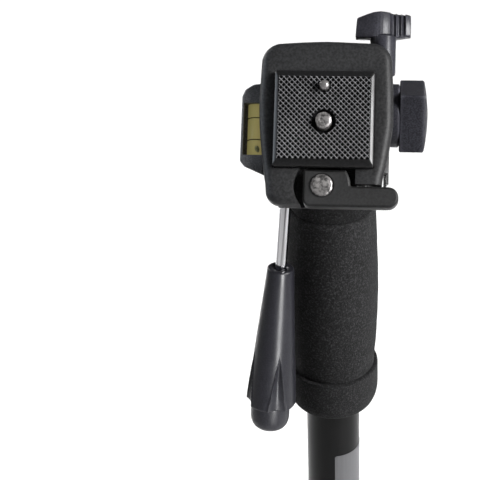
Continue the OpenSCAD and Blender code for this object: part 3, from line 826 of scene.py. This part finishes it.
# ---------------------------------------------------------------- tilt knob: square, crisp cornered, domed end
def knob_ring(x, half, r, dip=0.3):
    pts = []
    c = half - r
    for q in range(4):
        a = math.radians(90 * q)
        seq = [(half - dip * (1 - t * t), c * t) for t in (-0.9, -0.6, -0.3, 0, 0.3, 0.6, 0.9)]
        seq += [(c + r * math.cos(math.radians(b)), c + r * math.sin(math.radians(b))) for b in (0, 15, 30, 45, 60, 75, 90)]
        for u, v in seq:
            pts.append((x, u * math.cos(a) - v * math.sin(a), u * math.sin(a) + v * math.cos(a)))
    return pts


rings = [knob_ring(28.8, 11.7, 0.5), knob_ring(28.9, 12.0, 0.6), knob_ring(29.3, 12.3, 0.7)]
rings += [knob_ring(x, 12.3, 0.7) for x in (31, 33, 35, 37, 38.4)]
rings += [knob_ring(38.85, 12.1, 0.7), knob_ring(39.15, 11.6, 0.7), knob_ring(39.4, 10.6, 0.7), knob_ring(39.85, 8.6, 1.5, 0.25), knob_ring(40.25, 5.6, 1.2, 0.15), knob_ring(40.5, 3, 0.8, 0), knob_ring(40.6, 1, 0.4, 0)]
knob = loft("tilt_knob_body", rings)
fix(knob)
moved(knob, Matrix.Rotation(math.radians(-14.7), 4, "X"))
place(knob, KNOB, "tilt_lock", "tilt_knob", AXIS, 30)
flange = lathe("tilt_knob_flange", soften([(3.06, 28.9), (3.06, 26.5), (9.6, 26.5), (9.6, 25.0), (12.8, 25.0), (13.3, 25.4), (13.3, 28.3), (12.4, 28.9), (3.06, 28.9)][:-1], 0.3), 72, closed=True)
moved(flange, rot_x())
place(flange, KNOB, "tilt_lock", None, AXIS)


# ---------------------------------------------------------------- wing knob of the flip lock
def wing_face(x):
    """Height of the wing's near face over the knob's axis: smooth hub side, then a step down to the ribbed wing."""
    if x < 2.75:
        return along([(-11.1, 2.5), (-9, 3.1), (-7, 3.8), (-5, 4.4), (-3.6, 4.75), (-2.4, 4.85), (-1.2, 4.72), (0, 4.4), (1, 3.98), (1.9, 3.45), (2.75, 2.85)], x)
    if x < 3.15:
        return 2.85 - 1.55 * (x - 2.75) / 0.4
    if x < 8.7:
        p = ((x - 3.1) / 2.1) % 1.0
        return 1.25 + 1.0 * (2 * abs(p - 0.5)) ** 1.6
    return along([(8.7, 1.5), (8.85, 2.5), (9.1, 2.55), (10.4, 1.95), (11.1, 1.5)], x)


def wing_knob():
    hub = lathe("wing_knob", soften([(0, 7.4), (5.0, 7.4), (5.2, 8), (5.2, 22.6), (4.2, 23.4), (0, 23.4)], 0.35), 72)
    moved(hub, rot_y())
    lo = [(-10.8, 22.5), (-10.6, 22.15), (-10.0, 22.1), (-5.2, 22.1), (0, 22.0), (3, 22.3), (5.6, 22.9), (10.2, 23.2), (10.85, 23.2), (11.05, 23.5)]
    hi = [(-10.8, 29.7), (-10.6, 30.2), (-10.0, 30.5), (-7, 31.4), (-4.3, 32.1), (-1, 32.5), (2.9, 32.5), (7.5, 32.0), (10.0, 31.75), (10.85, 31.6), (11.05, 31.2)]
    rows = []
    n = 260
    for k in range(n + 1):
        x = -10.8 + 21.85 * k / n
        y0, y1 = along(lo, x), along(hi, x)
        top = wing_face(x)
        bot = -along([(-11.1, 1.5), (-9, 1.9), (-3.2, 2.1), (-2.6, 2.9), (-1, 4.0), (0, 4.4), (2.4, 4.85), (5, 4.4), (9, 3.1), (11.1, 2.5)], x)
        lean = 0.066 * max(0.0, -x / 10.8) - 0.02 * max(0.0, x / 10.8)
        e = 0.4
        rows.append([(x + lean * (y - 26), y, z) for y, z in (
            (y0 + e, bot), (y0 + 0.12, bot + 0.12), (y0, bot + e), (y0, top - e), (y0 + 0.12, top - 0.12), (y0 + e, top), ((y0 + y1) / 2, top),
            (y1 - e, top), (y1 - 0.12, top - 0.12), (y1, top - e), (y1, bot + e), (y1 - 0.12, bot + 0.12), (y1 - e, bot), ((y0 + y1) / 2, bot))])
    bar = loft("w", rows)
    fix(bar)
    join(hub, bar)
    cut(hub, moved(cyl(2.56, 0, 25), rot_y()))
    return hub


tk = wing_knob()
moved(tk, at(FLIP_X, 0, FLIP_W))
place(tk, WING, "flip_lock", "t_knob", HEAD, 32)

# ---------------------------------------------------------------- pan handle
rod = lathe("handle_rod_bar", soften([(0, 9.2), (2.2, 9.2), (2.5, 9.6), (2.5, 92), (0, 92)], 0.15), 64)
place(rod, CHROME, "tilt", "handle_rod", ROD)
GRIP = [(68.8, 5.7), (70, 5.85), (92, 7.6), (114, 9.3), (134, 10.8), (138, 11.0)]
FLUTE0, FLUTES = math.radians(158.3), 4


def fluted(a, r, s):
    if s < 111 or s > 138.4 or r < 8:
        return r
    t = (s - 111) / 27.0
    half = math.radians(2.0 + 19 * t)
    step = 2 * math.pi / FLUTES
    best = abs((a - FLUTE0 + step / 2) % step - step / 2)
    if best >= half * 1.5:
        return r
    q = best / half
    groove = 1.5 * min(1.0, 2.2 * t) ** 0.8 * max(0.0, 1 - q * q)
    rim = 0.3 * min(1.0, 3 * t) * math.exp(-((q - 1.06) / 0.14) ** 2)
    return r - groove + rim


prof = [(2.55, 137.9), (2.55, 71.4), (3.0, 70.4), (3.8, 69.9), (5.3, 69.9), (5.6, 70.05), (5.8, 70.4)]
prof += [(along(GRIP, s), s) for s in [71, 74, 80, 88, 96, 102, 106] + [108 + 0.75 * k for k in range(40)]]
prof += [(10.98, 137.7), (10.85, 138.0), (8.6, 138.0)]
hg = lathe("handle_grip_body", prof, 288, fluted, True)
place(hg, HANDLE, "tilt", "handle_grip", ROD, 42)
hc = lathe("handle_end_cap", soften([(0, 138.0), (8.4, 138.0), (8.7, 138.4), (8.8, 143.4), (8.75, 146.4), (8.0, 149.2), (6.0, 151.1), (3.4, 151.8), (0, 152.0)], 1.2, 4), 96)
place(hc, HANDLE, "tilt", "handle_cap", ROD)

# ---------------------------------------------------------------- foam grip, its end ring
FOAM_R = [(457.5, 19.2), (463, 19.4), (468, 19.8), (476, 20.25), (485, 20.6), (498, 20.8), (512, 20.6), (530, 19.95), (545.9, 19.3)]
foam_pts = [(12.5, 457.6), (18.8, 457.55), (19.15, 457.9)] + [(along(FOAM_R, z), z) for z in [458.4 + 1.1 * k for k in range(79)]]
foam_pts += [(19.25, 545.1), (19.1, 545.6), (18.7, 545.86), (12.5, 545.88)]


def foam_skin(a, r, z):
    if r < 15:
        return r
    return r + 0.05 * math.sin(5 * a + z * 0.11) * math.sin(z * 0.31 + 2 * a) + 0.04 * wobble(round(a, 3), z)


foam = lathe("foam_sleeve", foam_pts, 200, foam_skin, True)
place(foam, FOAM, "column", "grip_foam", angle=60)
ringp = soften([(12.5, 457.5), (20.2, 457.5), (20.8, 457.2), (21.0, 456.4), (21.1, 445.5), (21.0, 442.8), (20.5, 440), (19.4, 437.2), (18.0, 435.6), (16.0, 435.3), (12.5, 435.3)], 0.7, 4)
er = lathe("grip_lower_ring", ringp, 128, closed=True)
place(er, BASE, "column", "grip_end_ring")


# ---------------------------------------------------------------- bare label on the tube
def tube_label():
    r, z0, z1, a0, a1 = 12.54, 338, 407.0, -90 + 6, -90 + 104
    n = 40
    verts, faces = [], []
    for j, z in enumerate([z0, z0 + 0.3, z0 + 1.0, z1 - 1.0, z1 - 0.3, z1]):
        e = {0: 4.6, 1: 1.6, 4: 1.6, 5: 4.6}.get(j, 0)
        for i in range(n + 1):
            a = math.radians(a0 + e + (a1 - a0 - 2 * e) * i / n)
            verts.append((r * math.cos(a), r * math.sin(a), z))
    for j in range(5):
        for i in range(n):
            p = j * (n + 1) + i
            faces.append((p, p + 1, p + n + 2, p + n + 1))
    o = make("tube_label", verts, faces)
    m = o.modifiers.new("s", "SOLIDIFY")
    m.thickness = 0.14
    m.offset = 1
    return bake(o)


place(tube_label(), LABEL, "column", None, angle=50)

# ---------------------------------------------------------------- foot step: one bent wire with curled eyes
step_route = [(-3.5, -11.5, 40.5), (-8, -11.5, 37.5), (-13, -11.5, 36.8), (-17, -11, 41), (-17.5, -10, 50),
              (-21, -8, 68), (-22.7, -7, 82), (-21.5, -5.5, 110), (-19.5, -3.5, 150), (-18.4, -1.5, 185), (-19, -0.5, 195),
              (-22.5, 0, 200), (-26.3, 0.5, 195), (-27.6, 1.5, 187), (-30.5, 3.5, 155), (-34, 5.5, 118), (-37, 7, 88),
              (-41, 8, 78), (-46, 9, 66), (-48, 9.5, 58), (-45, 10, 51), (-38, 10.5, 48.5), (-28, 11, 49.5), (-16, 11.5, 50), (-8, 11.5, 48.5), (-3.5, 11.5, 45.5)]


def eye(y, a0, a1):
    return [(3.6 * math.cos(math.radians(a0 + (a1 - a0) * k / 40)), y, 43 + 3.6 * math.sin(math.radians(a0 + (a1 - a0) * k / 40))) for k in range(41)]


step = sweep("foot_step_wire", catmull(step_route, 8), 2.0, 16)
tie_a, tie_b = Vector((-37, 7, 88)), Vector((-22.7, -7, 82))
extra = [sweep("eye1", eye(-11.5, 214, 214 - 350), 1.62, 14), sweep("eye2", eye(11.5, 145, 145 + 350), 1.62, 14),
         sweep("tie", [tie_a + (tie_b - tie_a) * t for t in (-0.02, 0.1, 0.5, 0.9, 1.02)], 1.8, 14)]
bm = bmesh.new()
for o in [step] + extra:
    bm.from_mesh(o.data)
bm.to_mesh(step.data)
bm.free()
for o in extra:
    bpy.data.objects.remove(o)
place(step, WIRE, "step", "stirrup", angle=50)

# ---------------------------------------------------------------- rubber foot
fp = [(2.8, 9), (2.8, 1.9), (3.3, 1.4), (5.6, 1.4), (7.2, 2.0), (9.7, 3.9), (11.7, 6.6), (12.9, 9.6), (13.25, 11.6), (12.95, 12.2), (12.95, 13.0), (13.2, 13.5), (12.9, 15.2), (11.9, 17.6),
      (10.6, 19.6), (9.8, 20.9), (9.45, 21.9), (9.4, 23.6), (9.1, 24), (8.6, 24), (8.3, 23.6), (8.3, 9)]
foot = lathe("rubber_foot_body", soften(fp, 0.5, 3), 96, closed=True)
place(foot, RUBBER, "foot", "rubber_foot")


# ---------------------------------------------------------------- carried-over CAD nodes: rounded edges and materials
def dress(name, mat, width=0.0, seg=2, angle=35):
    o = NODES[name]
    o.data.materials.clear()
    o.data.materials.append(mat)
    if width > 0:
        w = o.modifiers.new("weld", "WELD")
        w.merge_threshold = 1e-6
        b = o.modifiers.new("bevel", "BEVEL")
        b.width = width * 0.001
        b.segments = seg
        b.limit_method = "ANGLE"
        b.angle_limit = math.radians(angle)
        b.miter_outer = "MITER_ARC"
        n = o.modifiers.new("normals", "WEIGHTED_NORMAL")
        n.keep_sharp = False


for k in (1, 2, 3, 4):
    dress("leg_tube_%d" % k, TUBE)
for k in (2, 3, 4):
    dress("bushing_%d" % k, NYLON)
for k in (1, 2, 3):
    dress("lock_collar_%d" % k, LOCK, 0.5)
    dress("lock_lever_%d" % k, LOCK, 0.5)
    dress("lock_pin_%d" % k, STEEL, 0.2)
    dress("brake_shoe_%d" % k, INNER)
for n in ("foot_plug", "column_plug"):
    dress(n, INNER)
for n in ("foot_spike", "pan_bolt", "tilt_bolt", "lever_spring", "stirrup_pin"):
    dress(n, STEEL)
dress("tilt_washer", STEEL, 0.2)
dress("flip_pin", WIRE)
dress("head_base", BASE, 0.6)
dress("tilt_body", ABS, 0.6)
dress("pan_lock_screw", KNOB, 0.3)
dress("strap_ring", NICKEL_SMOOTH)
dress("strap_crimp", NICKEL_SMOOTH, 0.3)


# ---------------------------------------------------------------- floor and light
def stage_only(o, seen):
    """A stage piece that is either seen, or throws light on the object, but not both."""
    o.visible_camera = seen
    if seen:
        o.visible_diffuse = o.visible_glossy = o.visible_transmission = o.visible_shadow = False
    return o


def floor():
    """The floor that is seen, and under it the one that throws light back."""
    out = []
    for name, z, seen in (("floor", -0.0006, True), ("floor_bounce", -0.0009, False)):
        o = make(name, [(-9, -9, 0), (9, -9, 0), (9, 9, 0), (-9, 9, 0)], [(0, 1, 2, 3)])
        m, nt, b, co = tree("pale_" + name)
        n = noise(nt, co, 3, 3)
        nt.links.new(ramp(nt, n, [(0.3, (0.90, 0.90, 0.90)), (0.7, (0.92, 0.92, 0.92))]), b.inputs["Base Color"])
        b.inputs["Roughness"].default_value = 0.9
        b.inputs["Specular IOR Level"].default_value = 0.1
        o.data.materials.append(m)
        o.location.z = z
        out.append(stage_only(o, seen))
    return out


def backdrop():
    """Plain pale wall all round."""
    o = lathe("backdrop", [(8.9, -0.02), (8.9, 4.5), (7.5, 7.0), (4.0, 8.6), (0, 9)], 96)
    m, nt, b, co = tree("pale_wall")
    n = noise(nt, co, 0.4, 2)
    b.inputs["Base Color"].default_value = (0, 0, 0, 1)
    b.inputs["Specular IOR Level"].default_value = 0
    nt.links.new(ramp(nt, n, [(0.3, (0.80, 0.80, 0.80)), (0.7, (0.83, 0.83, 0.83))]), b.inputs["Emission Color"])
    b.inputs["Emission Strength"].default_value = 1.0
    o.data.materials.append(m)
    shade(o, 60)
    stage_only(o, True)


def floor_light(o):
    d = bpy.data.lights.new("floor_light", "SUN")
    d.energy = 3.1
    d.angle = math.radians(60)
    s = bpy.data.objects.new("floor_light", d)
    SCENE.collection.objects.link(s)
    s.rotation_euler = (0.35, 0.45, 0)
    c = bpy.data.collections.new("floor_light_reach")
    c.objects.link(o)
    s.light_linking.receiver_collection = c


def area(name, loc, target, size, energy, size_y=None, spread=180, only=(), tint=None):
    d = bpy.data.lights.new(name, "AREA")
    d.energy = energy
    d.size = size
    d.spread = math.radians(spread)
    if size_y:
        d.shape = "RECTANGLE"
        d.size_y = size_y
    o = bpy.data.objects.new(name, d)
    SCENE.collection.objects.link(o)
    o.visible_camera = False
    o.location = loc
    o.rotation_euler = (Vector(target) - Vector(loc)).to_track_quat("-Z", "Y").to_euler()
    if tint:
        d.color = tint
    if only:
        # a flagged light that reaches these pieces alone
        c = bpy.data.collections.new(name + "_reach")
        for x in only:
            c.objects.link(x)
        o.light_linking.receiver_collection = c


def studio():
    """Sky that is bright near the horizon and dim overhead."""
    w = bpy.data.worlds.new("studio")
    w.use_nodes = True
    nt = w.node_tree
    bg = nt.nodes["Background"]
    bg.inputs["Color"].default_value = (1, 1, 1, 1)
    tc = nt.nodes.new("ShaderNodeTexCoord")
    xyz = nt.nodes.new("ShaderNodeSeparateXYZ")
    nt.links.new(tc.outputs["Generated"], xyz.inputs["Vector"])
    nt.links.new(span(nt, xyz.outputs["Z"], 0.28, 0.07, 0.06, 0.32), bg.inputs["Strength"])
    SCENE.world = w


seen_floor, bounce_floor = floor()
floor_light(seen_floor)
backdrop()
studio()
area("key", (1.45, -0.66, 1.5), (0, 0, 0.45), 0.8, 14.5, 0.9, 100)
tubes = [NODES["leg_tube_%d" % k] for k in (1, 2, 3, 4)]
area("handle_strip", (0.56, -1.4, 0.5), (0, 0, 0.48), 0.35, 9, 0.9, 100, (hg, hc, tk))
area("left", (-1.3, -0.1, 1.05), (0, 0, 0.6), 0.8, 3.0, 0.8, 120, (plat, plate, hous, vial, bub, NODES["tilt_body"]), (0.82, 0.9, 1.0))
area("rod_left", (-0.85, -0.85, 0.2), (0, -0.02, 0.55), 2.2, 1.8, 0.9, 180, (rod,))
area("rod_right", (0.95, -0.55, 0.2), (0, -0.02, 0.55), 1.7, 1.4, 0.9, 180, (rod,))
area("wing_strip", (0.56, -1.4, 0.5), (0, 0, 0.48), 0.3, 5, 0.9, 100, (tk,))
area("fork_fill", (-0.5, -1.2, 1.5), (0, 0, 0.58), 0.6, 9, 0.6, 110, (NODES["tilt_body"],))
area("lever_fill", (-0.5, -1.2, 1.5), (0, 0, 0.58), 0.6, 2.2,0.6, 110, (lev,))
area("lever_edge", (1.5, 0.04, 1.9), (0, -0.06, 0.58), 0.5, 1.5, 0.5, 90, (lev,))
area("grip_side", (1.7, -0.25, 0.75), (0, 0, 0.48), 0.6, 12, 0.7, 120, (foam, er))
area("tube_low", (0.42, -0.41, 0.03), (0, 0, 0.4), 0.07, 0.5, 1.0, 180, tubes)
area("wash", (-0.15, 1.0, 1.9), (-0.15, 1.0, 0), 1.0, 9, 1.0, 56, (bounce_floor,))
area("back", (-1.5, 1.3, 0.9), (0, 0, 0.4), 0.5, 3.5, 0.9, 90)
SCENE.view_settings.view_transform = "Standard"

bpy.context.view_layer.update()
